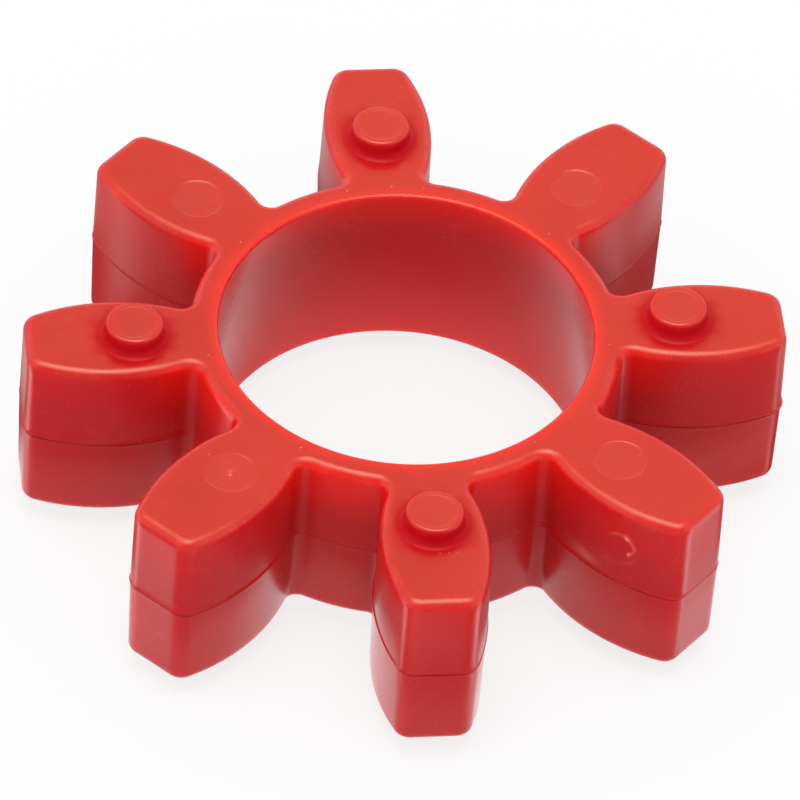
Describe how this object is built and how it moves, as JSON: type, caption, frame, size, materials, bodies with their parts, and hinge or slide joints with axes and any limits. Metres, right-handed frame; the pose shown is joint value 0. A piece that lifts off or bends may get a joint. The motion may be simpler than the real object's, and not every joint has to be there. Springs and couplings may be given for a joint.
{
  "type": "jaw coupling spider",
  "caption": "One-piece elastomer star: crowned teeth around a plain bored ring, with small spacer nubs on both faces, sitting between the jaws of two coupling hubs.",
  "frame": {"origin": "on the bore axis, midway between the two flat faces", "axes": "+Z along the shaft axis; +X along the middle of a tooth whose spacer nub is on the +Z face"},
  "size_m": [0.055, 0.055, 0.0168],
  "materials": {
    "polyurethane": "satin moulded polyurethane, slightly translucent"
  },
  "bodies": {
    "root": {"spider": "polyurethane"}
  },
  "joints": []
}
